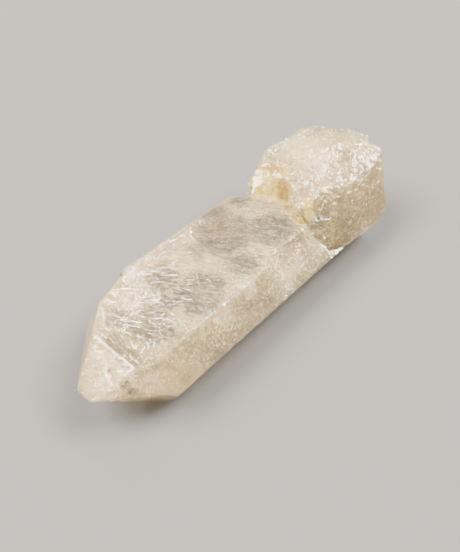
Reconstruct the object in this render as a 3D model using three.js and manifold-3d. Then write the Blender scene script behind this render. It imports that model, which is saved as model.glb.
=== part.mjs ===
// A quartz crystal lying on one of its long faces: a six-sided prism whose point is cut to a
// chisel, and whose other end is a broken, lumpy root that has grown together with it.
// Millimetres, +Z up. The crystal's long axis is Y, with the point at -Y and the root at +Y.

import * as THREE from "three";
import { ConvexGeometry } from "three/addons/geometries/ConvexGeometry.js";
import { mergeVertices } from "three/addons/utils/BufferGeometryUtils.js";
import Module from "manifold-3d";

const wasm = await Module();
wasm.setup();

// ---- The prism ----
const PRISM_HEIGHT = 20; // from the face it lies on to the face on top
const TOP_HALF_WIDTH = 14; // half the width of the face on top
const CORNER_HEIGHT = 10.5; // of the long edges at its sides
const SHOULDER_Y = -46.5; // where the top face ends and the point begins
const BREAK_FOOT_Y = 46; // where the broken end meets the resting face
const BREAK_SLANT = 24; // degrees that the broken end leans back over its foot
const CORNER_X = TOP_HALF_WIDTH + (PRISM_HEIGHT - CORNER_HEIGHT) * Math.tan(Math.PI / 6);

// A quartz face leans away from the long axis by one of three angles. The face under the
// chisel edge is stepped, and lies between two of them.
const PRISM_LEAN = 90;
const STEEP_LEAN = 75.3;
const POINT_LEAN = 51.79;
const UNDER_LEAN = 67;

// ---- The point ----
const TIP = [1.4, -56.7, 12]; // left end of the chisel edge
const LEFT_POINT_CORNER = [-3.3, SHOULDER_Y, PRISM_HEIGHT]; // of the face left of the point's top face
const RIGHT_POINT_CORNER = [12.1, SHOULDER_Y, PRISM_HEIGHT]; // of the face right of it
const RIGHT_UNDER_CORNER = [CORNER_X, -41.4, CORNER_HEIGHT];
const LEFT_UNDER_CORNER = [-12, -44.2, 8.5];
const LEFT_STEEP_END = [-TOP_HALF_WIDTH, -24.7, PRISM_HEIGHT];
const RIGHT_STEEP_END = [TOP_HALF_WIDTH, -44.6, PRISM_HEIGHT];

// ---- The root ----
const RIM_OUT = 0.7; // how far the uncut lump stands past its rim, for the chips to take off
const LUMP_HEART = [-1, 41, 14]; // the middle of the lump, which its chips face
const CHIP_COUNT = 84; // places spread evenly all round, of which the lump's are used
const CHIP_RADIUS = [9, 40]; // from bowls to scars that are nearly flat
const CHIP_HALF_WIDTH = [3.0, 6.6];
const CHIP_STRETCH = [0.55, 1.7]; // of a scar along one way over its width across it
const CHIP_STEEPEST = 0.5; // the most that a scar's half-width may be of its radius
const CHIP_FACET = 2.6; // length of a facet's edge in a scar
const SMOOTH_SIDE = { right: 0.55, up: 0.5, back: 0.6 }; // directions of the lump's unchipped face
const PRISM_SIDE = { front: 0.55, low: 0.3, lowFront: 0.15 }; // directions that the prism fills
const RESTING_SIDE = 0.6; // of a direction's length, downwards

const SPREAD = 1e-4; // points closer than this to a face count as on it
const GOLDEN = 0.618034; // spreads a number over a range with no two alike
const MIX = [1, 5, 7, 11]; // steps of that spread, so that a chip's measures vary apart
const OUTSIDE = 60; // further from the lump's heart than any of its surface
const LEAST_FACING = 0.55; // cosine of the angle between a chip's way in and a face it may land on
const FULL_TURN = 360; // degrees

// A flat crystal face. turn is how far it is turned about the long axis, 0 for the face on top
// and 90 for one facing +X. lean is the angle between the face's normal and the pointed end.
function crystalFace(turn, lean, through) {
  const t = THREE.MathUtils.degToRad(turn);
  const l = THREE.MathUtils.degToRad(lean);
  const normal = new THREE.Vector3(Math.sin(t) * Math.sin(l), -Math.cos(l), Math.cos(t) * Math.sin(l));
  return new THREE.Plane().setFromNormalAndCoplanarPoint(normal, new THREE.Vector3(...through));
}

// The flat face through three points, seen anticlockwise from outside.
function faceThrough(a, b, c) {
  const [p, q, r] = [a, b, c].map((v) => new THREE.Vector3(...v));
  return new THREE.Plane().setFromCoplanarPoints(p, q, r);
}

// The closed solid behind a set of flat faces: its corners are the points where three faces
// meet and that no other face cuts off.
function solidBehind(faces) {
  const corners = [];
  const meet = new THREE.Matrix3();
  for (let i = 0; i < faces.length; i++) {
    for (let j = i + 1; j < faces.length; j++) {
      for (let k = j + 1; k < faces.length; k++) {
        const [a, b, c] = [faces[i], faces[j], faces[k]];
        meet.set(...a.normal.toArray(), ...b.normal.toArray(), ...c.normal.toArray());
        if (Math.abs(meet.determinant()) < SPREAD) continue;
        const corner = new THREE.Vector3(-a.constant, -b.constant, -c.constant);
        corner.applyMatrix3(meet.invert());
        if (faces.every((face) => face.distanceToPoint(corner) < SPREAD)) corners.push(corner);
      }
    }
  }
  return toSolid(new ConvexGeometry(corners));
}

// The smallest solid without hollows that holds all of these points.
function hullOf(points) {
  return toSolid(new ConvexGeometry(points.map((p) => new THREE.Vector3(...p))));
}

// The same geometry with its corners shared between the faces that meet there.
function welded(geometry) {
  geometry.deleteAttribute("normal");
  geometry.deleteAttribute("uv");
  return mergeVertices(geometry, SPREAD);
}

function toSolid(geometry) {
  const merged = welded(geometry);
  const mesh = new wasm.Mesh({
    numProp: 3,
    vertProperties: new Float32Array(merged.attributes.position.array),
    triVerts: new Uint32Array(merged.index.array),
  });
  return new wasm.Manifold(mesh);
}

function toGeometry(solid) {
  const mesh = solid.getMesh();
  const geometry = new THREE.BufferGeometry();
  geometry.setAttribute("position", new THREE.BufferAttribute(mesh.vertProperties, 3));
  geometry.setIndex(new THREE.BufferAttribute(mesh.triVerts, 1));
  geometry.computeVertexNormals();
  return geometry;
}

// A faceted ball, stretched and turned, whose surface is uneven. Taken away, it leaves the
// shell-shaped scar of a chip.
function ball({ at, size, turn = [0, 0, 0], detail = 3, uneven = 0.02, seed = 1 }) {
  const geometry = welded(new THREE.IcosahedronGeometry(1, detail));
  const position = geometry.attributes.position;
  const point = new THREE.Vector3();
  const angles = new THREE.Euler(...turn.map(THREE.MathUtils.degToRad));
  for (let i = 0; i < position.count; i++) {
    point.fromBufferAttribute(position, i);
    point.multiplyScalar(1 + uneven * ripple(point, seed));
    point.multiply(new THREE.Vector3(...size)).applyEuler(angles).add(new THREE.Vector3(...at));
    position.setXYZ(i, point.x, point.y, point.z);
  }
  return toSolid(geometry);
}

// A smooth unevenness from -1 to 1 over a ball's directions.
function ripple(p, seed) {
  const a = Math.sin(5.1 * p.x + 2.3 * seed) * Math.sin(4.3 * p.y + 1.7 * seed);
  const b = Math.sin(9.7 * p.z + 3.1 * seed + 2.0 * p.x) * Math.sin(8.9 * p.x - 1.3 * seed);
  return 0.6 * a + 0.4 * b;
}

// The chip that faces `from`, as seen from `heart`: a ball that reaches just so deep into the
// solid there that its scar is 2 * halfWidth wide, before it is stretched and turned. There is
// none where it would land on a sliver of a face, which is turned away from `from`.
function chipOf(solid, { from, heart, radius, halfWidth, stretch = 1, turn = [0, 0, 0], seed = 1 }) {
  const start = new THREE.Vector3(...from);
  const inward = new THREE.Vector3(...heart).sub(start).normalize();
  const [hit] = new THREE.Raycaster(start, inward).intersectObject(new THREE.Mesh(toGeometry(solid)));
  if (hit.face.normal.dot(inward) > -LEAST_FACING) return [];
  const size = [radius * stretch, radius, radius];
  const depth = radius - Math.sqrt(radius ** 2 - halfWidth ** 2);
  const deepest = hit.point.addScaledVector(hit.face.normal, -depth);
  const at = deepest.add(middleAbove(hit.face.normal, size, turn)).toArray();
  return ball({ at, size, turn, detail: Math.ceil(radius / CHIP_FACET), seed });
}

// From the point of a stretched and turned ball that lies deepest against `normal` to its middle.
function middleAbove(normal, size, turn) {
  const angles = new THREE.Euler(...turn.map(THREE.MathUtils.degToRad));
  const unturned = new THREE.Quaternion().setFromEuler(angles).invert();
  const stretched = normal.clone().applyQuaternion(unturned).multiply(new THREE.Vector3(...size));
  const reach = stretched.length();
  return stretched.multiply(new THREE.Vector3(...size)).divideScalar(reach).applyEuler(angles);
}

// The solid with all of these chips gone. Each one's place is on the uncut surface.
function chipped(solid, chips) {
  return chips.flatMap((chip) => chipOf(solid, chip)).reduce((rest, chip) => rest.subtract(chip), solid);
}

// ---- The crystal: prism and point ----
function prismWithPoint() {
  // A broad, shallow chamfer along the far end of the top face's left edge.
  const leftChamfer = faceThrough([-14, -4, 20], [-11, 14, 20], [-15, 16, 18.3]);
  return solidBehind([
    crystalFace(0, PRISM_LEAN, [0, 0, PRISM_HEIGHT]),
    crystalFace(60, PRISM_LEAN, [TOP_HALF_WIDTH, 0, PRISM_HEIGHT]),
    crystalFace(120, PRISM_LEAN, [CORNER_X, 0, CORNER_HEIGHT]),
    crystalFace(180, PRISM_LEAN, [0, 0, 0]),
    crystalFace(240, PRISM_LEAN, [-CORNER_X, 0, CORNER_HEIGHT]),
    crystalFace(300, PRISM_LEAN, [-TOP_HALF_WIDTH, 0, PRISM_HEIGHT]),
    crystalFace(0, POINT_LEAN, [0, SHOULDER_Y, PRISM_HEIGHT]),
    crystalFace(60, POINT_LEAN, RIGHT_POINT_CORNER),
    crystalFace(120, POINT_LEAN, RIGHT_UNDER_CORNER),
    crystalFace(180, UNDER_LEAN, TIP),
    crystalFace(240, POINT_LEAN, LEFT_UNDER_CORNER),
    crystalFace(300, POINT_LEAN, LEFT_POINT_CORNER),
    crystalFace(300, STEEP_LEAN, LEFT_STEEP_END),
    crystalFace(60, STEEP_LEAN, RIGHT_STEEP_END),
    crystalFace(180, 180 - BREAK_SLANT, [0, BREAK_FOOT_Y, 0]),
    leftChamfer,
  ]);
}

// The growth step along the near end of the top face: a steep little wall facing the point,
// with a narrow floor, which dies out to the left.
function growthStep() {
  const wallTop = PRISM_HEIGHT + 0.01;
  const floor = PRISM_HEIGHT - 0.9;
  return hullOf([
    [12.0, -45.4, wallTop],
    [12.0, -45.7, floor],
    [12.0, -46.5, wallTop],
    [1.5, -45.1, wallTop],
    [1.5, -45.5, floor],
    [1.5, -46.4, wallTop],
    [-3.2, -45.9, wallTop],
    [-3.2, -46.4, wallTop],
  ]);
}

// The stretch of the right-hand long edge that has flaked away beside the root: a thin, flat
// flake, with a low step where it starts.
function sideScar() {
  return hullOf([
    [12.6, -1.9, 20],
    [14.6, -0.5, 18.4],
    [19.4, 1.4, 10.9],
    [11.2, 4.2, 20],
    [11.6, 12, 20],
    [11.4, 19, 20],
    [19.2, 20, 11.2],
    [19.5, -2.9, 25],
    [26, -0.6, 16],
    [18, 22, 26],
    [26, 22, 16],
  ]);
}

// A thin plate grown on the left-hand face, whose near end stands out of the top edge.
function edgePlate() {
  return hullOf([
    [-13.6, -28.6, 19.9],
    [-14.3, -27.4, 19.8],
    [-14.7, -23.4, 19.2],
    [-13.9, -20.6, 19.9],
    [-16.2, -27.8, 16.4],
    [-16.9, -22.6, 15.8],
    [-18.0, -26, 13.4],
    [-15.5, -25, 16],
  ]);
}

// ---- The root ----
// The main mass, thicker than the prism and bulging past it. Its rim stands out by RIM_OUT.
function rootMass() {
  const rim = [
    [-12.2, 24.9, 24.4],
    [-6.5, 27.0, 25.2],
    [-15.2, 33.7, 26],
    [-14.8, 39.7, 26],
    [-14.6, 46.6, 26.5],
    [-10.5, 52.9, 27],
    [-5.6, 54.4, 27.5],
    [1.2, 57.0, 28],
    [4.2, 56.9, 28],
    [8.3, 55, 27],
    [10.7, 56.1, 25.7],
    [11.6, 43.5, 22.6],
    [9.8, 36.2, 22.8],
    [7.2, 32.0, 23.2],
    [1.6, 26.6, 23.6],
    [0, 45.5, 28],
  ];
  const foot = [
    [-9.6, 18.3, 20],
    [-9.4, 18.7, 19.5],
    [-5.2, 22.2, 19.5],
    [-1.9, 25.0, 19.5],
    [3.4, 25.6, 19.4],
    [11.8, 31.0, 19.4],
    [13.4, 40.3, 20.9],
    [15.2, 36.0, 17.8],
    [18.2, 29.5, 12.6],
    [19.5, 28.4, 10.4],
    [7.2, 24.4, 18.6],
    [9.4, 23.9, 17.5],
    [12.1, 23.5, 15.4],
    [15.2, 23.1, 13.2],
    [17.6, 23.0, 11.2],
    [13.9, 55.0, 20.2],
    [15.3, 53.0, 17.7],
    [17, 50.6, 14.9],
    [19.9, 37, 10.4],
    [20.1, 42, 10.2],
    [19.9, 47, 10.2],
    [-14, 27, 18],
    [-18, 31, 14.5],
    [-20.1, 39, 12],
    [-19, 47, 13],
    [-13, 52, 17],
    [-8, 48, 6],
    [12, 48, 6],
  ];
  return hullOf([...rim.map(outward), ...foot]);
}

// The point moved away from the heart of the lump by RIM_OUT.
function outward(point) {
  const heart = new THREE.Vector3(...LUMP_HEART);
  const ray = new THREE.Vector3(...point).sub(heart);
  return ray.setLength(ray.length() + RIM_OUT).add(heart).toArray();
}

// The V-shaped valley between the neck's lip and the lump, open on the right-hand side. The
// lump fills its far side.
function neckValley() {
  return hullOf([
    [0.4, 24.2, 20],
    [3.7, 22.6, 20],
    [9.1, 19.6, 20],
    [11.7, 18.7, 19.5],
    [14.3, 19.2, 15.8],
    [16.0, 20.3, 13.3],
    [18.6, 21.4, 10.1],
    [4.8, 25.2, 19.1],
    [7.1, 24.9, 18.3],
    [9.3, 24.4, 17.2],
    [12.0, 24.0, 15.1],
    [15.1, 23.6, 12.9],
    [17.5, 23.5, 10.9],
    [2.4, 26.4, 19.9],
    [6.6, 28, 19.4],
    [11.4, 31.6, 19.2],
    [12.8, 40.6, 20],
    [14.6, 36.4, 17.4],
    [17.6, 30, 12.4],
    [19.4, 29, 10.2],
    [1, 22, 30],
    [30, 12, 30],
    [3, 28, 30],
    [34, 38, 22],
    [34, 20, 8],
    [20, 36, 30],
  ]);
}

// The hollow at the foot of the lump's front wall, which dips a little into the prism.
function wallHollow() {
  return hullOf([
    [-8.8, 18.9, 20],
    [-5.6, 22.0, 19.8],
    [-1.9, 25.2, 19.6],
    [0.3, 24.6, 19.6],
    [-5, 17.5, 20.1],
    [1, 20.5, 20.1],
    [-11.4, 22.4, 25.6],
    [-6.4, 25.6, 26],
    [-2.0, 26.6, 26],
    [3.2, 25.2, 26],
    [-12, 8, 28],
    [10, 8, 30],
  ]);
}

// The break on the far side of the neck, where the prism's left edge stops short of the lump.
function farNotch() {
  return hullOf([
    [-13.4, 15.4, 20.3],
    [-15.3, 16.6, 17.8],
    [-9.8, 15.8, 20.3],
    [-9.4, 18.6, 20.3],
    [-17.6, 25.2, 10],
    [-17.0, 28.5, 10.5],
    [-20, 17, 10],
    [-20, 33, 10],
    [-18, 14, 30],
    [-30, 14, 22],
    [-30, 34, 22],
    [-25, 25, 8],
    [-12.6, 21.6, 21],
  ]);
}

// The lump's chips: spread evenly over all directions, less those on the smooth right-hand
// face, on the prism and on the underside that the crystal rests on.
function lumpChips() {
  const goldenTurn = Math.PI * (3 - Math.sqrt(5));
  const heart = new THREE.Vector3(...LUMP_HEART);
  const chips = [];
  for (let i = 0; i < CHIP_COUNT; i++) {
    const fromTop = Math.acos(1 - (2 * i + 1) / CHIP_COUNT);
    const direction = new THREE.Vector3().setFromSphericalCoords(1, fromTop, i * goldenTurn);
    direction.set(direction.z, direction.x, direction.y);
    if (isUnchipped(direction)) continue;
    const [forRadius, forStretch, forWidth, forTurn] = MIX.map((step) => (i * step * GOLDEN) % 1);
    const radius = THREE.MathUtils.lerp(...CHIP_RADIUS, forRadius ** 2);
    const wanted = THREE.MathUtils.lerp(...CHIP_HALF_WIDTH, forWidth);
    chips.push({
      from: direction.multiplyScalar(OUTSIDE).add(heart).toArray(),
      heart: LUMP_HEART,
      radius,
      halfWidth: Math.min(wanted, CHIP_STEEPEST * radius),
      stretch: THREE.MathUtils.lerp(...CHIP_STRETCH, forStretch),
      turn: [0, FULL_TURN * forStretch, FULL_TURN * forTurn],
      seed: i,
    });
  }
  return chips;
}

// Whether the lump has no chips in this direction from its heart.
function isUnchipped({ x, y, z }) {
  const onSmoothSide = x > SMOOTH_SIDE.right && z < SMOOTH_SIDE.up && y < SMOOTH_SIDE.back;
  const onPrism = y < -PRISM_SIDE.front || (z < PRISM_SIDE.low && y < -PRISM_SIDE.lowFront);
  return onSmoothSide || onPrism || z < -RESTING_SIDE;
}

// ---- Chips and pits placed one by one ----
const CHIPS = [
  { at: [-11.6, 17.6, 20.9], size: [2.2, 1.9, 1.6], turn: [0, 0, 20] }, // at the neck, on the left
  { at: [6.5, -50.5, 17.6], size: [0.8, 1.3, 1.0], turn: [38, 0, 20] }, // pit in the point's top face
  { at: [12.6, -51.4, 16.6], size: [0.6, 0.9, 0.7], turn: [30, 20, 0] }, // pit beside it
  { at: [14.6, 19.6, 17.0], size: [1.9, 1.9, 1.6], turn: [0, 30, 20] }, // in the neck's lip
  { at: [8.9, 58.0, 27.4], size: [3.2, 2.2, 3.4], turn: [0, 20, 30] }, // notch in the lump's far rim
  { at: [20.1, -3, 10.6], size: [0.9, 2.4, 2.2], turn: [0, 0, 4] }, // in the right-hand side edge
  { at: [20.0, -21, 10.2], size: [0.8, 3.0, 1.5], turn: [0, 0, -3] },
  { at: [-20.0, -9, 10.4], size: [0.9, 4.0, 1.6], turn: [0, 0, 3] }, // in the left-hand side edge
  { at: [-19.9, -33, 10.5], size: [0.8, 2.0, 1.4], turn: [0, 0, -6] },
];

// Broken places on the slope between the lump's crest and the valley, knocked in from `from`
// towards `heart`.
const BREAKS = [
  { from: [15, 5, 45], heart: [4.5, 28.8, 22], radius: 9, halfWidth: 2.6, stretch: 1.6, turn: [0, 0, 35] },
  { from: [20, 10, 45], heart: [8.5, 32.5, 22], radius: 12, halfWidth: 2.9, stretch: 1.3, turn: [0, 0, 60] },
  { from: [25, 20, 45], heart: [12, 38.5, 22], radius: 8, halfWidth: 2.2, stretch: 1.5, turn: [0, 0, 75] },
];

// The thin flake that stands out at the lump's left foot.
function flake() {
  return hullOf([
    [-11.4, 19.8, 21.6],
    [-12.6, 21.4, 22.6],
    [-12.2, 24.0, 24.2],
    [-9.6, 22.0, 21.6],
    [-9.8, 19.8, 19.8],
    [-13.0, 24.6, 20.5],
    [-10, 26, 22],
  ]);
}

function stone() {
  const crystal = prismWithPoint().add(edgePlate()).subtract(growthStep()).subtract(sideScar());
  const lost = farNotch().add(wallHollow());
  const uncut = crystal.subtract(neckValley()).add(rootMass()).subtract(lost);
  const broken = chipped(uncut, [...lumpChips(), ...BREAKS]).add(flake());
  const scars = CHIPS.map((chip, i) => ball({ seed: i, ...chip }));
  return scars.reduce((rest, scar) => rest.subtract(scar), broken);
}

const geometry = toGeometry(stone());
geometry.computeBoundingBox();
const { min, max } = geometry.boundingBox;
geometry.translate(-(min.x + max.x) / 2, -(min.y + max.y) / 2, -min.z);

const mesh = new THREE.Mesh(
  geometry,
  new THREE.MeshStandardMaterial({ color: 0xd9ccb0, roughness: 0.35, metalness: 0, flatShading: true }),
);
mesh.name = "quartz_crystal";
const part = new THREE.Group();
part.add(mesh);

export default part;
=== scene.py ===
"""Dresses a quartz crystal: a cloudy six-sided prism with a chisel point and a broken, iron-stained root."""

import math

import bpy
import numpy as np
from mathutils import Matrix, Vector, kdtree, noise
from mathutils.bvhtree import BVHTree


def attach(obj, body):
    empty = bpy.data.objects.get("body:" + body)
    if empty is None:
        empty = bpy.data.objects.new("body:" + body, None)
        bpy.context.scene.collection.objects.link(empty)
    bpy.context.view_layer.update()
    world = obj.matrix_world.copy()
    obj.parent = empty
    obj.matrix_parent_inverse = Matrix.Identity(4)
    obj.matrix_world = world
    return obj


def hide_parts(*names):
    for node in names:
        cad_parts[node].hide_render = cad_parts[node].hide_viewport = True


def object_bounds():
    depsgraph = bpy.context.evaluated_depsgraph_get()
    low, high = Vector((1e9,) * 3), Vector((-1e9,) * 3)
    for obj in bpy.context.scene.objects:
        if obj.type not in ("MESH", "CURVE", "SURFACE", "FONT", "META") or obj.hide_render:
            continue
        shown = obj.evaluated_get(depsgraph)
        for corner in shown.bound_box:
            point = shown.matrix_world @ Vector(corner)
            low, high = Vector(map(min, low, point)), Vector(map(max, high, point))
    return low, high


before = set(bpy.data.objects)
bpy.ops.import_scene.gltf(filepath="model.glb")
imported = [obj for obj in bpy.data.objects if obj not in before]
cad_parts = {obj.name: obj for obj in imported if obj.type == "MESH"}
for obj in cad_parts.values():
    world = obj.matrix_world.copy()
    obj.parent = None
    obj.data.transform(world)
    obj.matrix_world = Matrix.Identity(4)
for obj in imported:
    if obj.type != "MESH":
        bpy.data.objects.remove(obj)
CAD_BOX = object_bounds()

bl_info = {
    "name": "Cloudy Quartz Crystal",
    "version": (1, 0, 0),
    "blender": (4, 5, 0),
    "location": "3D View > Sidebar > Crystal",
    "description": "Dresses a cloudy quartz crystal and sets its stage",
    "category": "Object",
}

MM = 0.001
CAD_NODE = "quartz_crystal"
BODY = "root"
BOX_LOW = np.array(CAD_BOX[0]) / MM
BOX_HIGH = np.array(CAD_BOX[1]) / MM

ROOT_START = 22.5  # past this y, in mm, every face of the stone is broken
ROUGH_ALONG = (17.0, 21.0)  # the facets of a break grow deeper between these y, in mm
ROUGH_UP = (14.0, 20.0)  # and between these z
CAMERA_PLACE = (80.65, -92.55, 130.2)  # in mm
QUARTZ_IOR = 1.544
PLAIN_IOR = 1.45  # of the floor's paint, and of the skins of the inclusions
GROWTH_TURN = math.radians(30)  # how far the fine lines and fibres run from straight across
SNAP_SHARE = 0.62  # points nearer to a sharp edge than this share of the mesh size move onto it

# Where the stone's look changes: soft balls as (x, y, z, reach), in mm.
# Clear stone, painted darker grey as though a dark ground showed through it, with painted shade where noted.
CLEAR_AND_SHADE_PLACES = [
    (5.5, -36.5, 20, 10.0),
    (5.5, -20.0, 20, 10.0),
    (-4.0, -23.0, 20, 8.0),
    (3.0, -28.0, 20, 5.0),
    (-2.4, -40.0, 20, 5.0),
    (9.0, -22.5, 20, 8.0),
    (6.5, -15.5, 20, 6.0),
    # Painted shade: the next four darken the groove where the top face meets the point.
    (1.8, -45.2, 19.9, 3.0),
    (4.5, -45.7, 19.7, 3.6),
    (7.2, -45.8, 19.5, 3.8),
    (9.7, -45.9, 19.3, 3.6),
    (-3.9, 0.0, 20, 14.0),
    (5.0, 10.0, 20, 12.0),
    (8.0, -6.0, 20, 7.0),
    (-11.5, 4.5, 20, 8.0),
    (-10.0, 14.0, 20, 6.0),
    (5.8, -50.8, 16.9, 1.7),
    (11.2, -50.2, 16.2, 2.0),
    (12.7, -49.6, 14.6, 1.8),
    # Painted shade: these last three darken the hollow behind the neck and the steep face beyond it.
    (9.0, 24.5, 17.5, 7.0),
    (9.1, 29.0, 20.5, 5.0),
    (14.5, 33.0, 17.5, 8.0),
]
# Milky quartz at the point and on the root's top, with painted highlights where noted.
MILK_AND_HIGHLIGHT_PLACES = [
    (6.8, -53.5, 15, 9.0),
    (2.5, -49.9, 17.0, 7.0),
    (14.8, -46.0, 16.0, 5.0),
    (10.0, -49.5, 17.6, 6.0),
    # Painted highlights: the next seven light the flank's upper ridge, its streak and the glint on the neck's
    # lip.
    (15.2, -21.8, 17.9, 4.5),
    (14.7, -10.6, 18.7, 4.0),
    (13.0, 0.0, 20, 4.0),
    (16.6, 1.9, 14.0, 7.0),
    (13.9, 18.6, 15.7, 4.0),
    (15.9, 9.5, 14.8, 4.0),
    (15.4, 17.6, 15.4, 4.0),
    # Painted highlight: this one is the glint on a chip of the left edge.
    (-13.0, -27.3, 20, 4.0),
    (0.3, -27.0, 20, 4.0),
    (-8.8, 40.6, 26.7, 10.0),
    (0.0, 38.0, 26.0, 8.0),
]
STAIN_PLACES = [
    (-8.4, 20.3, 21.2, 5.0),
    (-7.5, 22.4, 22.3, 6.9),
    (-5.0, 23.5, 21.1, 6.2),
    (-10.0, 22.1, 23.0, 6.2),
    (-7.3, 27.0, 25.7, 6.2),
    (-2.7, 25.3, 22.6, 4.4),
    (-1.9, 24.3, 19.6, 3.8),
    (2.4, 21.2, 20.0, 3.5),
    (6.4, 19.4, 20.0, 3.2),
    (9.1, 18.7, 20.0, 3.2),
    (6.1, 25.1, 20.7, 3.2),
    (8.0, 23.6, 18.3, 3.0),
]
RUST_PLACES = [
    (-9.4, 26.8, 25.6, 3.3),
    (-7.3, 27.0, 25.7, 3.9),
    (-2.7, 25.3, 22.6, 3.6),
    (-1.9, 24.3, 19.6, 3.3),
    (2.4, 21.2, 20.0, 2.7),
    (6.4, 19.4, 20.0, 2.4),
    (9.1, 18.7, 20.0, 2.1),
]
# A smoky brown tone, darkened as painted shade on the root's side that faces away from the light; the last
# two reach over the top face's far half.
SMOKE_AND_SHADE_PLACES = [
    (14.7, 37.0, 17.5, 13.0),
    (15.5, 30.0, 14.5, 11.0),
    (17.5, 46.0, 15.5, 12.0),
    (16.5, 25.5, 12.5, 7.0),
    (12.0, 31.0, 18.5, 10.0),
    (12.0, 48.0, 22.5, 8.0),
    (-4.0, 2.0, 31, 19.0),
    (3.0, 14.0, 31, 18.0),
]
ZONES = {
    "milk_and_highlight": MILK_AND_HIGHLIGHT_PLACES,
    "clear": CLEAR_AND_SHADE_PLACES,
    "stain": STAIN_PLACES,
    "rust": RUST_PLACES,
    "smoke_and_shade": SMOKE_AND_SHADE_PLACES,
}
# Healed cracks that show through the faces: middle and reach in mm, then the way each one faces.
CRACKS = [
    ((5.0, -21.0, 18.9), 5.5, (0.05, 0.1, 1.0)),
    ((6.0, -36.0, 18.8), 5.5, (0.1, 0.0, 1.0)),
    ((0.0, -30.0, 18.7), 4.5, (-0.1, 0.1, 1.0)),
    ((10.0, -12.0, 18.6), 4.0, (0.2, 0.0, 1.0)),
    ((15.0, -20.0, 16.3), 4.5, (0.87, 0.0, 0.5)),
    ((15.4, 0.0, 14.0), 5.0, (0.8, 0.1, 0.6)),
    ((12.5, -22.0, 14.0), 6.5, (0.6, -0.3, 0.7)),
    ((13.5, -1.0, 13.0), 6.0, (0.8, 0.1, 0.5)),
    ((3.0, -45.0, 13.5), 6.0, (0.1, -0.7, 0.7)),
    ((6.5, -49.5, 12.0), 4.5, (-0.3, -0.5, 0.8)),
    ((7.0, -50.0, 16.0), 6.5, (0.0, -0.62, 0.79)),
]
CRACK_FLAKES = 11  # flakes tried for each square of a crack's reach
LISTED_CRACK_DEPTH = 0.45  # how deep in the stone the flakes of a listed crack stay, in mm
CLOUD_DEPTH = 0.8  # and all other flakes
FLAKE_SIZES = (0.14, 0.32)  # smallest and largest, from middle to corner, in mm

# The lamps: name, degrees round from the point, degrees up, distance and size in metres, watts.
LAMPS = [
    ("key_softbox", -34, 53, 2.75, 1.75, 680.0),
    ("side_softbox", 142, 56, 3.00, 1.50, 620.0),
    ("back_softbox", 216, 50, 3.00, 0.60, 16.0),
    ("spark_lamp", 198, 58, 2.50, 0.125, 20.0),
    ("low_spark_lamp", 236, 42, 2.50, 0.125, 24.0),
    ("edge_spark_lamp", 138, 12, 2.50, 0.25, 14.0),
]


def linear(colour):
    """Turn an sRGB hex colour into linear red, green, blue and alpha."""
    channels = [int(colour[i : i + 2], 16) / 255 for i in (1, 3, 5)]
    return [c / 12.92 if c <= 0.04045 else ((c + 0.055) / 1.055) ** 2.4 for c in channels] + [1.0]


def add(tree, kind, inputs=(), **settings):
    """Add a shader node. inputs sets or links its sockets, and settings its own choices."""
    made = tree.nodes.new("ShaderNode" + kind)
    for name, value in settings.items():
        setattr(made, name, value)
    for socket, value in dict(inputs).items():
        if isinstance(value, bpy.types.NodeSocket):
            tree.links.new(value, made.inputs[socket])
        else:
            made.inputs[socket].default_value = value
    return made


def per_metre(size):
    """The scale of a pattern whose features are size mm across."""
    return 1 / (size * MM)


# ---- Settings ----


class CrystalSettings(bpy.types.PropertyGroup):
    grain: bpy.props.FloatProperty(
        name="Mesh size", description="Width of the finished mesh's faces, in mm", default=0.4, min=0.2
    )
    terrace: bpy.props.FloatProperty(
        name="Growth relief", description="Height of the growth lines on the flat faces, in mm", default=0.035
    )
    facet: bpy.props.FloatProperty(
        name="Fracture facet", description="Width of the small facets of a broken face, in mm", default=2.8
    )
    facet_slope: bpy.props.FloatProperty(
        name="Facet slope", description="How far the small facets tilt, as a slope", default=0.2
    )
    tries: bpy.props.IntProperty(
        name="Cloud tries", description="Places drawn for the cloud's flakes; some are kept", default=110000
    )
    cracks: bpy.props.IntProperty(
        name="Cracks", description="Healed cracks at drawn places, beside the listed ones", default=22
    )
    wear: bpy.props.FloatProperty(
        name="Edge wear", description="How far the sharp edges are worn back, in mm", default=0.10
    )
    nick: bpy.props.FloatProperty(
        name="Edge nicks", description="Depth of the deepest nick in a sharp edge, in mm", default=0.3
    )


class FinishSettings(bpy.types.PropertyGroup):
    # Milky white, also the colour of the painted highlights.
    milk_and_highlight: bpy.props.StringProperty(name="Milky quartz", description="sRGB hex colour", default="#ffedc8")
    # Clear quartz painted darker grey as though a dark ground showed through; also the colour of painted
    # shade.
    clear_and_shade_grey: bpy.props.StringProperty(name="Clear quartz", description="sRGB hex colour", default="#747063")
    haze: bpy.props.StringProperty(name="Hazy quartz", description="sRGB hex colour", default="#e2d0a2")
    ochre: bpy.props.StringProperty(name="Iron stain", description="sRGB hex colour", default="#ffe278")
    rust: bpy.props.StringProperty(name="Rusty stain", description="sRGB hex colour", default="#bd9a3a")
    # Smoky brown, darkened as painted shade of the root's side.
    smoke_and_shade: bpy.props.StringProperty(name="Smoky root", description="sRGB hex colour", default="#92815c")
    floor: bpy.props.StringProperty(name="Floor", description="sRGB hex colour", default="#484a4e")


class StageSettings(bpy.types.PropertyGroup):
    turn: bpy.props.FloatProperty(
        name="Camera turn", description="Degrees round the stone from its point", default=41.62
    )
    tilt: bpy.props.FloatProperty(
        name="Camera height", description="Degrees above the floor", default=45.38
    )
    lens: bpy.props.FloatProperty(name="Lens", description="Focal length in mm", default=39.13)
    floor_size: bpy.props.FloatProperty(
        name="Floor size", description="Length of the floor's sides", default=6.0, unit="LENGTH"
    )


# ---- Mesh helpers ----


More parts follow.
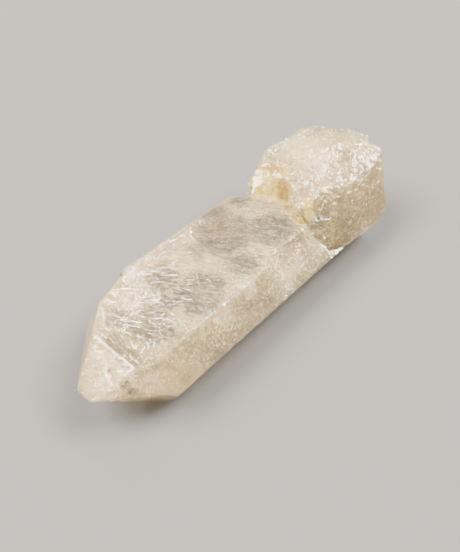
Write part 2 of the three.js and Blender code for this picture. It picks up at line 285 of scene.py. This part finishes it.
def values(items, field, width=1):
    """One number, or one row of numbers, for each item of a mesh."""
    found = np.empty(len(items) * width, dtype=np.int32 if field == "vertices" else np.float32)
    items.foreach_get(field, found)
    return found if width == 1 else found.reshape(-1, width)


def points_of(mesh):
    """The mesh's points in mm."""
    return values(mesh.vertices, "co", 3).astype(float) / MM


def only(piece):
    """Select this piece alone."""
    bpy.ops.object.select_all(action="DESELECT")
    piece.select_set(True)
    bpy.context.view_layer.objects.active = piece


def copy_of_node(node, name):
    """A new piece with the shape of a CAD node, its loose triangles joined up."""
    mesh = bpy.data.objects[node].data.copy()
    mesh.name = name
    mesh.materials.clear()
    piece = bpy.data.objects.new(name, mesh)
    bpy.context.scene.collection.objects.link(piece)
    only(piece)
    bpy.ops.object.mode_set(mode="EDIT")
    bpy.ops.mesh.select_all(action="SELECT")
    bpy.ops.mesh.remove_doubles(threshold=0.01 * MM)
    bpy.ops.object.mode_set(mode="OBJECT")
    return piece


def surface_tree(mesh):
    """A tree that finds the nearest place on a mesh, in mm."""
    corners = values(mesh.polygons, "vertices", 3)
    return BVHTree.FromPolygons(points_of(mesh).tolist(), corners.tolist())


def sharp_edge_points(mesh, least_turn=22.0, spacing=0.1):
    """Places along the mesh's sharp edges, in mm."""
    normal = values(mesh.polygons, "normal", 3).astype(float)
    corners = values(mesh.polygons, "vertices", 3)
    sides = np.concatenate([corners[:, [0, 1]], corners[:, [1, 2]], corners[:, [2, 0]]])
    sides = np.sort(sides, axis=1)
    face = np.tile(np.arange(len(corners)), 3)
    order = np.lexsort((sides[:, 1], sides[:, 0]))
    sides, face = sides[order], face[order]
    same = (sides[1:] == sides[:-1]).all(axis=1)
    turn = (normal[face[1:]] * normal[face[:-1]]).sum(axis=1)
    sharp = sides[1:][same & (turn < math.cos(math.radians(least_turn)))]
    points = points_of(mesh)
    found = []
    for start, end in points[sharp]:
        count = 2 + int(np.linalg.norm(end - start) / spacing)
        found.append(start + (end - start) * np.linspace(0, 1, count)[:, None])
    return np.concatenate(found)


def even_mesh(piece, size):
    """Give a piece an even mesh of this size in mm, with its flat faces and sharp edges kept.

    Returns which of the old faces each new point is on, and how far it is from a sharp edge.
    """
    surface = surface_tree(piece.data)
    ridge = sharp_edge_points(piece.data)
    tree = kdtree.KDTree(len(ridge))
    for i, point in enumerate(ridge):
        tree.insert(point, i)
    tree.balance()
    only(piece)
    piece.data.remesh_voxel_size = size * MM
    piece.data.use_remesh_fix_poles = False
    bpy.ops.object.voxel_remesh()
    mesh = piece.data
    points = points_of(mesh)
    on_face = np.empty(len(points), dtype=int)
    for i, point in enumerate(points):
        points[i], _, on_face[i], _ = surface.find_nearest(point)
    nearest = [tree.find(point) for point in points]
    away = np.array([distance for _, _, distance in nearest])
    snapped = away < SNAP_SHARE * size
    points[snapped] = np.array([tuple(place) for place, _, _ in nearest])[snapped]
    away[snapped] = 0
    mesh.vertices.foreach_set("co", (points * MM).astype(np.float32).ravel())
    mesh.update()
    return on_face, away


def step(low, high, value):
    """0 below low, 1 above high, and a soft rise between them."""
    t = np.clip((value - low) / (high - low), 0, 1)
    return t * t * (3 - 2 * t)


def near(points, places):
    """1 in the middle of the nearest of the places, falling to 0 at its reach."""
    best = np.zeros(len(points))
    for *middle, reach in places:
        best = np.maximum(best, 1 - step(0.25, 1, np.linalg.norm(points - middle, axis=1) / reach))
    return best


def rough(points, size, seed, octaves=2):
    """Fractal noise from about -1 to 1, with features of this size in mm. size may differ by axis.

    Each seed moves the pattern, and so gives another one.
    """
    spread = points / size + 31.7 * seed
    return np.array([noise.fractal(Vector(p), 1.0, 2.0, octaves) for p in spread])


def hackle(points, size, slope, seed):
    """Height of small tilted facets, as broken quartz has, in mm."""
    height = np.empty(len(points))
    for i, p in enumerate(points / size + 17.3 * seed):
        middle = noise.voronoi(Vector(p))[1][0]
        tilt = noise.cell_vector(middle * 7.7) - Vector((0.5, 0.5, 0.5))
        height[i] = tilt.dot(Vector(p) - middle)
    return height * size * slope * 2


def surface_relief(points, broken, edge, sizes):
    """How far each point moves out of the face it is on, in mm."""
    # Flat faces have growth lines across them.
    growth = rough(points, np.array([5.0, 1.7, 5.0]), 1) + 0.8 * rough(points, 9.0, 2)
    height = sizes.terrace * growth * (1 - broken)
    # Breaks have small facets, deepest at the root's top and shallow on its smoky side.
    along = 0.2 + 0.8 * step(*ROUGH_ALONG, points[:, 1])
    up = 0.2 + 0.8 * step(*ROUGH_UP, points[:, 2])
    hackled = broken * along * up
    hackled *= 1 - 0.85 * near(points, SMOKE_AND_SHADE_PLACES)
    height += hackled * hackle(points, sizes.facet, sizes.facet_slope, 3)
    height += 0.4 * hackled * hackle(points, sizes.facet * 0.4, sizes.facet_slope, 4)
    height += 0.25 * hackled * rough(points, 4.0, 5)
    # Sharp edges are worn back, and nicked here and there.
    height -= sizes.wear * (1 - step(0, 0.45, edge)) * (1 - 0.5 * broken)
    chipped = step(0.25, 0.7, rough(points, 2.6, 6))
    height -= sizes.nick * chipped * (1 - step(0, 0.9, edge)) * (1 - 0.6 * broken)
    # Nothing stands out of the face that the stone lies on.
    resting = 1 - step(0.05, 1.2, points[:, 2])
    return np.where(resting > 0, np.minimum(height, 0) * (1 - resting), height)


def broken_faces(mesh, least_area=22.0):
    """True for each face that isn't part of a large flat one: breakage leaves only small facets."""
    normal = values(mesh.polygons, "normal", 3).astype(float)
    centre = values(mesh.polygons, "center", 3).astype(float) / MM
    area = values(mesh.polygons, "area").astype(float) / MM**2
    level = (normal * centre).sum(axis=1)
    plane = np.round(np.column_stack([normal * 40, level * 4]))
    _, which = np.unique(plane, axis=0, return_inverse=True)
    which = which.ravel()
    return np.bincount(which, weights=area)[which] < least_area


def softened(mesh, field, times):
    """Blur a value of each point over its neighbours."""
    pairs = values(mesh.edges, "vertices", 2)
    degree = np.bincount(pairs.ravel(), minlength=len(field))
    for _ in range(times):
        total = np.bincount(pairs[:, 0], weights=field[pairs[:, 1]], minlength=len(field))
        total += np.bincount(pairs[:, 1], weights=field[pairs[:, 0]], minlength=len(field))
        field = 0.5 * field + 0.5 * total / np.maximum(degree, 1)
    return field


def keep_field(mesh, name, field):
    """Store a value of each point, for the materials to read."""
    made = mesh.attributes.new(name, "FLOAT", "POINT")
    made.data.foreach_set("value", np.clip(field, 0, 1).astype(np.float32))


def deep_inside(shell, points, margin):
    """True for each point that is at least this deep in the stone, in mm."""
    deep = np.zeros(len(points), dtype=bool)
    for i, point in enumerate(points):
        roof = shell.ray_cast(point, (0, 0, 1))[1]
        deep[i] = roof is not None and roof.z > 0 and shell.find_nearest(point)[3] > margin
    return deep


def crack_sheet(draw, middle, reach, way, seed):
    """Places on a wavy, patchy sheet that faces this way."""
    across = np.array(way.orthogonal().normalized())
    along = np.cross(way, across)
    spot = draw.uniform(-reach, reach, (int(CRACK_FLAKES * reach * reach), 2))
    spot = spot[np.linalg.norm(spot, axis=1) < reach]
    sheet = np.array(middle) + spot[:, :1] * across + spot[:, 1:] * along
    sheet += 0.9 * rough(sheet, 5.0, 30 + seed)[:, None] * np.array(way)
    return sheet[rough(sheet, 2.6, 60 + seed, 4) > 0.0]


# ---- Materials ----


def zone_layers(tree, place, field, finish):
    """The colour zones, from the lowest up: how much each one covers, and its colour."""
    # Veils, 9 mm across, between which the stone is clearer, painted darker grey as though a dark ground
    # showed through.
    veil = add(tree, "TexNoise", {"Vector": place, "Scale": per_metre(9), "Detail": 6.0, "Distortion": 1.0})
    window = add(tree, "MapRange", {0: veil.outputs["Fac"], 1: 0.48, 2: 0.66, 3: 0.0, 4: 0.55})
    layers = [(window.outputs[0], finish.clear_and_shade_grey)]
    # Cloud, 6 mm across, frays the borders of the zones.
    grain = {"Scale": per_metre(6), "Detail": 5.0, "Roughness": 0.62, "Distortion": 0.6}
    cloud = add(tree, "TexNoise", {"Vector": place, **grain}).outputs["Fac"]
    fray = add(tree, "MapRange", {0: cloud, 1: 0.3, 2: 0.7, 3: -0.22, 4: 0.22}).outputs[0]
    # Beside the stone's own tone, milk also paints highlights, clear paints darker grey and shade, and smoke
    # paints shade on the root's side.
    for zone, cover, colour in [
        ("milk_and_highlight", 0.9, finish.milk_and_highlight),
        ("clear", 0.9, finish.clear_and_shade_grey),
        ("smoke_and_shade", 0.9, finish.smoke_and_shade),
        ("stain", 0.95, finish.ochre),
        ("rust", 0.9, finish.rust),
    ]:
        spread = add(tree, "Math", {0: fray, 1: field[zone]}, operation="ADD").outputs[0]
        ramp = {0: spread, 1: 0.24, 2: 0.9, 3: 0.0, 4: cover}
        share = add(tree, "MapRange", ramp, interpolation_type="SMOOTHSTEP").outputs[0]
        layers.append((share, colour))
    return layers


def detail_layers(tree, place, field, bare, cell, clearest, finish):
    """The fine colour over the zones, in the same form. It fades where the stone is stained or smoky."""
    # Fibres of finer cloud, drawn out aslant across the stone.
    mapping = {"Vector": place, "Rotation": (0.0, 0.0, GROWTH_TURN), "Scale": (6.0, 1.0, 1.0)}
    slant = add(tree, "Mapping", mapping, vector_type="TEXTURE").outputs[0]
    grain = {"Scale": per_metre(0.9), "Detail": 3.0, "Distortion": 0.6}
    fibre = add(tree, "TexNoise", {"Vector": slant, **grain}).outputs["Fac"]
    pale = add(tree, "MapRange", {0: fibre, 1: 0.5, 2: 0.66, 3: 0.0, 4: 0.3}).outputs[0]
    dark = add(tree, "MapRange", {0: fibre, 1: 0.34, 2: 0.48, 3: 0.22, 4: 0.0}).outputs[0]
    # Some of the small facets are clearer than the rest, painted in the same darker grey.
    tone = add(tree, "SeparateColor", {0: cell}).outputs[0]
    glassy = add(tree, "MapRange", {0: tone, 1: 0.5, 2: 0.95, 3: 0.0, 4: clearest}).outputs[0]
    # Edges are whitened: crushed white by wear, and a painted highlight along them.
    worn_and_lit_rim = add(tree, "Math", {0: field["rim"], 1: 0.5}, operation="MULTIPLY").outputs[0]
    layers = [(pale, finish.milk_and_highlight), (dark, finish.clear_and_shade_grey), (glassy, finish.clear_and_shade_grey), (worn_and_lit_rim, finish.milk_and_highlight)]
    return [
        (add(tree, "Math", {0: share, 1: bare}, operation="MULTIPLY").outputs[0], colour)
        for share, colour in layers
    ]


def facet_cells(tree, place, size, stretch):
    """A random colour for each small facet, size mm across and stretched along the growth lines."""
    wander = add(tree, "TexNoise", {"Vector": place, "Scale": per_metre(size * 1.5), "Detail": 2.0})
    shift = {0: wander.outputs["Color"], 1: (size * MM,) * 3, 2: place}
    ragged = add(tree, "VectorMath", shift, operation="MULTIPLY_ADD").outputs[0]
    mapping = {"Vector": ragged, "Rotation": (0.0, 0.0, GROWTH_TURN), "Scale": (stretch, 1.0, 1.0)}
    slant = add(tree, "Mapping", mapping, vector_type="TEXTURE").outputs[0]
    return add(tree, "TexVoronoi", {"Vector": slant, "Scale": per_metre(size)}).outputs["Color"]


def relief_normal(tree, place, reliefs):
    """The normal of a face with these reliefs, each as its width in mm, depth in mm and stretch."""
    below = {}
    for size, depth, stretch in reliefs:
        mapping = {"Vector": place, "Rotation": (0.0, 0.0, GROWTH_TURN), "Scale": (stretch, 1.0, 1.0)}
        slant = add(tree, "Mapping", mapping, vector_type="TEXTURE").outputs[0]
        grain = {"Scale": per_metre(size), "Detail": 3.0, "Distortion": 0.4}
        relief = add(tree, "TexNoise", {"Vector": slant, **grain}).outputs["Fac"]
        bump = {"Height": relief, "Distance": depth * MM, "Strength": 1.0, **below}
        below = {"Normal": add(tree, "Bump", bump).outputs["Normal"]}
    return below["Normal"]


def quartz(name, finish, transmission, roughness, reliefs, facets):
    """A quartz material: colour zones, haze and relief shared by grown and broken faces.

    roughness is its least and most, and facets are their width in mm, tilt, stretch and clearness.
    """
    material = bpy.data.materials.new(name)
    material.use_nodes = True
    tree = material.node_tree
    tree.nodes.clear()
    place = add(tree, "TexCoord").outputs["Object"]
    field = {key: add(tree, "Attribute", attribute_name=key).outputs["Fac"] for key in (*ZONES, "rim")}
    # Stained places, and smoky ones that are also painted in shade, have less of the fine detail.
    calm = add(tree, "Math", {0: field["stain"], 1: field["smoke_and_shade"]}, operation="MAXIMUM").outputs[0]
    bare = add(tree, "MapRange", {0: calm, 1: 0.2, 2: 0.9, 3: 1.0, 4: 0.2}).outputs[0]
    facet_size, facet_tilt, facet_stretch, clearest = facets
    cell = facet_cells(tree, place, facet_size, facet_stretch)

    colour = linear(finish.haze)
    layers = zone_layers(tree, place, field, finish)
    layers += detail_layers(tree, place, field, bare, cell, clearest, finish)
    for share, over in layers:
        colour = add(tree, "Mix", {0: share, 6: colour, 7: linear(over)}, data_type="RGBA").outputs[2]

    # Patches 2.5 mm across are shinier and duller by turns.
    haze = add(tree, "TexNoise", {"Vector": place, "Scale": per_metre(2.5), "Detail": 4.0}).outputs["Fac"]
    dull = add(tree, "MapRange", {0: haze, 1: 0.35, 2: 0.65, 3: roughness[0], 4: roughness[1]}).outputs[0]
    # The smoky side is a little more matt.
    matt = add(tree, "Math", {0: field["smoke_and_shade"], 1: 0.04, 2: dull}, operation="MULTIPLY_ADD").outputs[0]

    # The small facets each tilt their own way, so that a few at a time catch a lamp.
    turned = add(tree, "VectorMath", {0: cell, 1: (0.5, 0.5, 0.5)}, operation="SUBTRACT").outputs[0]
    lean = add(tree, "Math", {0: bare, 1: facet_tilt}, operation="MULTIPLY").outputs[0]
    turned = add(tree, "VectorMath", {0: turned, "Scale": lean}, operation="SCALE").outputs[0]
    bumped = relief_normal(tree, place, reliefs)
    turned = add(tree, "VectorMath", {0: turned, 1: bumped}, operation="ADD").outputs[0]
    normal = add(tree, "VectorMath", {0: turned}, operation="NORMALIZE").outputs[0]

    # Light spreads up to 8 mm under the skin of the cloudy stone, red the furthest.
    surface = add(
        tree,
        "BsdfPrincipled",
        {
            "Base Color": colour,
            "Roughness": matt,
            "IOR": QUARTZ_IOR,
            "Transmission Weight": transmission,
            "Subsurface Weight": 0.6,
            "Subsurface Radius": (1.0, 0.85, 0.65),
            "Subsurface Scale": 0.008,
            "Normal": normal,
        },
    )
    # The stone takes a little of the blue out of the light that goes through it.
    body = add(tree, "VolumeAbsorption", {"Color": linear("#efdfbc"), "Density": 12.0})
    output = add(tree, "OutputMaterial", {"Surface": surface.outputs[0], "Volume": body.outputs[0]})
    tree.nodes.active = output
    return material


def plain(name, colour, roughness):
    """An opaque material of one finish all over."""
    material = bpy.data.materials.new(name)
    material.use_nodes = True
    surface = material.node_tree.nodes["Principled BSDF"]
    surface.inputs["Base Color"].default_value = linear(colour)
    surface.inputs["Roughness"].default_value = roughness
    surface.inputs["IOR"].default_value = PLAIN_IOR
    return material


# ---- Operators ----


class CRYSTAL_OT_body(bpy.types.Operator):
    """Dress the crystal's body: a fine mesh with growth lines, fracture facets and worn edges"""

    bl_idname = "crystal.body"
    bl_label = "Crystal Body"

    def execute(self, context):
        sizes = context.scene.crystal
        finish = context.scene.crystal_finish
        piece = copy_of_node(CAD_NODE, "crystal_body")
        mesh = piece.data
        scar = broken_faces(mesh)
        on_face, edge = even_mesh(piece, sizes.grain)
        mesh = piece.data
        points = points_of(mesh)
        normal = values(mesh.vertices, "normal", 3).astype(float)
        scar = (scar[on_face] | (points[:, 1] > ROOT_START)).astype(float)
        broken = softened(mesh, scar, 2)
        height = surface_relief(points, broken, edge, sizes)
        points = np.clip(points + normal * height[:, None], BOX_LOW, BOX_HIGH)
        mesh.vertices.foreach_set("co", (points * MM).astype(np.float32).ravel())
        mesh.update()

        # The colour zones, some of which also carry painted highlights and shade.
        for zone, places in ZONES.items():
            keep_field(mesh, zone, near(points, places))
        # Nearness to a sharp edge, which the materials whiten as wear and as a painted highlight.
        keep_field(mesh, "rim", 1 - step(0, 0.8, edge))

        only(piece)
        bpy.ops.object.shade_smooth_by_angle(angle=math.radians(28))
        corners = values(mesh.polygons, "vertices", 4)
        # A face is a fresh break where most of its corners are on one.
        fresh = scar[corners].mean(axis=1) > 0.5
        mesh.polygons.foreach_set("use_smooth", ~fresh)
        # Natural faces of quartz, dulled by fine growth lines: a satin skin over a cloudy inside.
        mesh.materials.append(
            quartz(
                "grown_quartz_face_cloudy",
                finish,
                transmission=0.84,
                roughness=(0.05, 0.18),
                reliefs=[(0.5, 0.055, 5.0), (0.28, 0.022, 1.5)],
                facets=(0.6, 0.12, 3.0, 0.12),
            )
        )
        # Broken quartz: glassy facets at all angles, which sparkle like sugar.
        mesh.materials.append(
            quartz(
                "broken_quartz_conchoidal",
                finish,
                transmission=0.82,
                roughness=(0.07, 0.22),
                reliefs=[(2.4, 0.3, 1.0), (0.5, 0.035, 1.0)],
                facets=(0.6, 0.36, 1.0, 0.35),
            )
        )
        mesh.polygons.foreach_set("material_index", fresh.astype(np.int32))
        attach(piece, BODY)
        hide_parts(CAD_NODE)
        return {"FINISHED"}


class CRYSTAL_OT_inclusions(bpy.types.Operator):
    """Add the milky inclusions inside the crystal, in clouds and along healed cracks"""

    bl_idname = "crystal.inclusions"
    bl_label = "Milky Inclusions"

    def execute(self, context):
        sizes = context.scene.crystal
        draw = np.random.default_rng(5)
        shell = surface_tree(bpy.data.objects[CAD_NODE].data)

        # Clouds, thick in the milky places and thin in the clear ones.
        places = draw.uniform(BOX_LOW, BOX_HIGH, (sizes.tries, 3))
        thick = 0.34 + 0.55 * rough(places, 8.0, 21, 3)
        thick += 0.9 * near(places, MILK_AND_HIGHLIGHT_PLACES) - 0.5 * near(places, CLEAR_AND_SHADE_PLACES)
        places = places[draw.random(len(places)) < thick]
        places = places[deep_inside(shell, places, CLOUD_DEPTH)]
        facing = draw.normal(size=(len(places), 3))

        # Healed cracks: wavy sheets of flakes that lie along the crack.
        cracks = list(CRACKS)
        for middle in places[draw.integers(len(places), size=sizes.cracks)]:
            cracks.append((middle, draw.uniform(4, 10), draw.normal(size=3)))
        for i, (middle, reach, way) in enumerate(cracks):
            way = Vector(way).normalized()
            sheet = crack_sheet(draw, middle, reach, way, i)
            depth = LISTED_CRACK_DEPTH if i < len(CRACKS) else CLOUD_DEPTH
            sheet = sheet[deep_inside(shell, sheet, depth)]
            places = np.concatenate([places, sheet])
            facing = np.concatenate([facing, np.array(way) + 0.25 * draw.normal(size=(len(sheet), 3))])

        # One flat flake, modelled once and copied to every place.
        bpy.ops.object.select_all(action="DESELECT")
        bpy.ops.mesh.primitive_cone_add(vertices=3, radius1=1.0, depth=0.3)
        piece = bpy.context.active_object
        piece.name = "milky_inclusions"
        flake = values(piece.data.vertices, "co", 3).astype(float)
        faces = values(piece.data.polygons, "vertices", 3)
        facing /= np.linalg.norm(facing, axis=1)[:, None]
        side = np.cross(facing, draw.normal(size=facing.shape))
        side /= np.linalg.norm(side, axis=1)[:, None]
        axes = np.stack([side, np.cross(facing, side), facing], axis=1)
        size = draw.uniform(*FLAKE_SIZES, len(places))
        points = places[:, None] + size[:, None, None] * (flake @ axes)
        corner = faces[None] + len(flake) * np.arange(len(places))[:, None, None]
        mesh = bpy.data.meshes.new("milky_inclusions")
        mesh.from_pydata((points.reshape(-1, 3) * MM).tolist(), [], corner.reshape(-1, 3).tolist())
        piece.data = mesh
        only(piece)
        bpy.ops.object.transform_apply(location=True, rotation=True, scale=True)
        # Fluid inclusions: films of tiny bubbles, which shine white inside the stone.
        mesh.materials.append(plain("fluid_inclusions_in_quartz", "#fffaf0", 0.35))
        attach(piece, BODY)
        return {"FINISHED"}


class CRYSTAL_OT_stage(bpy.types.Operator):
    """Set the pale floor, the soft lights and the camera"""

    bl_idname = "crystal.stage"
    bl_label = "Stage"

    def execute(self, context):
        stage = context.scene.crystal_stage
        bpy.ops.object.select_all(action="DESELECT")
        bpy.ops.mesh.primitive_plane_add(size=stage.floor_size)
        floor = bpy.context.active_object
        floor.name = floor.data.name = "studio_floor"
        # Matt painted board: pale, with no shine to compete with the stone.
        floor.data.materials.append(plain("matt_painted_board", context.scene.crystal_finish.floor, 0.9))

        world = bpy.data.worlds.new("studio")
        world.use_nodes = True
        sky = world.node_tree.nodes["Background"]
        sky.inputs["Color"].default_value = linear("#eef1f6")
        sky.inputs["Strength"].default_value = 0.6
        context.scene.world = world

        for name, turn, tilt, away, size, power in LAMPS:
            lamp = bpy.data.lights.new(name, "AREA")
            lamp.shape = "SQUARE"
            lamp.size = size
            lamp.energy = power
            lamp.color = linear("#fff1dc")[:3]
            holder = bpy.data.objects.new(name, lamp)
            turn = math.radians(turn)
            tilt = math.radians(tilt)
            back = Vector((math.sin(turn) * math.cos(tilt), -math.cos(turn) * math.cos(tilt), math.sin(tilt)))
            holder.location = back * away
            holder.rotation_euler = back.to_track_quat("Z", "Y").to_euler()
            context.scene.collection.objects.link(holder)

        eye = bpy.data.cameras.new("camera")
        eye.lens = stage.lens
        eye.clip_start = 0.01
        camera = bpy.data.objects.new("camera", eye)
        camera.location = Vector(CAMERA_PLACE) * MM
        camera.rotation_euler = (math.radians(90 - stage.tilt), 0, math.radians(stage.turn))
        context.scene.collection.objects.link(camera)
        context.scene.camera = camera
        return {"FINISHED"}


class CRYSTAL_PT_panel(bpy.types.Panel):
    """The crystal's pieces and settings, in the sidebar"""

    bl_label = "Quartz Crystal"
    bl_idname = "CRYSTAL_PT_panel"
    bl_space_type = "VIEW_3D"
    bl_region_type = "UI"
    bl_category = "Crystal"

    def draw(self, context):
        for operator in OPERATORS:
            self.layout.operator(operator.bl_idname)
        for group in (context.scene.crystal, context.scene.crystal_finish, context.scene.crystal_stage):
            for key in group.__annotations__:
                self.layout.prop(group, key)


OPERATORS = (CRYSTAL_OT_body, CRYSTAL_OT_inclusions, CRYSTAL_OT_stage)
CLASSES = (CrystalSettings, FinishSettings, StageSettings, *OPERATORS, CRYSTAL_PT_panel)


def register():
    for item in CLASSES:
        bpy.utils.register_class(item)
    bpy.types.Scene.crystal = bpy.props.PointerProperty(type=CrystalSettings)
    bpy.types.Scene.crystal_finish = bpy.props.PointerProperty(type=FinishSettings)
    bpy.types.Scene.crystal_stage = bpy.props.PointerProperty(type=StageSettings)


def unregister():
    del bpy.types.Scene.crystal
    del bpy.types.Scene.crystal_finish
    del bpy.types.Scene.crystal_stage
    for item in reversed(CLASSES):
        bpy.utils.unregister_class(item)


def main():
    register()
    bpy.ops.crystal.stage()
    bpy.ops.crystal.body()
    bpy.ops.crystal.inclusions()


if __name__ == "__main__":
    main()
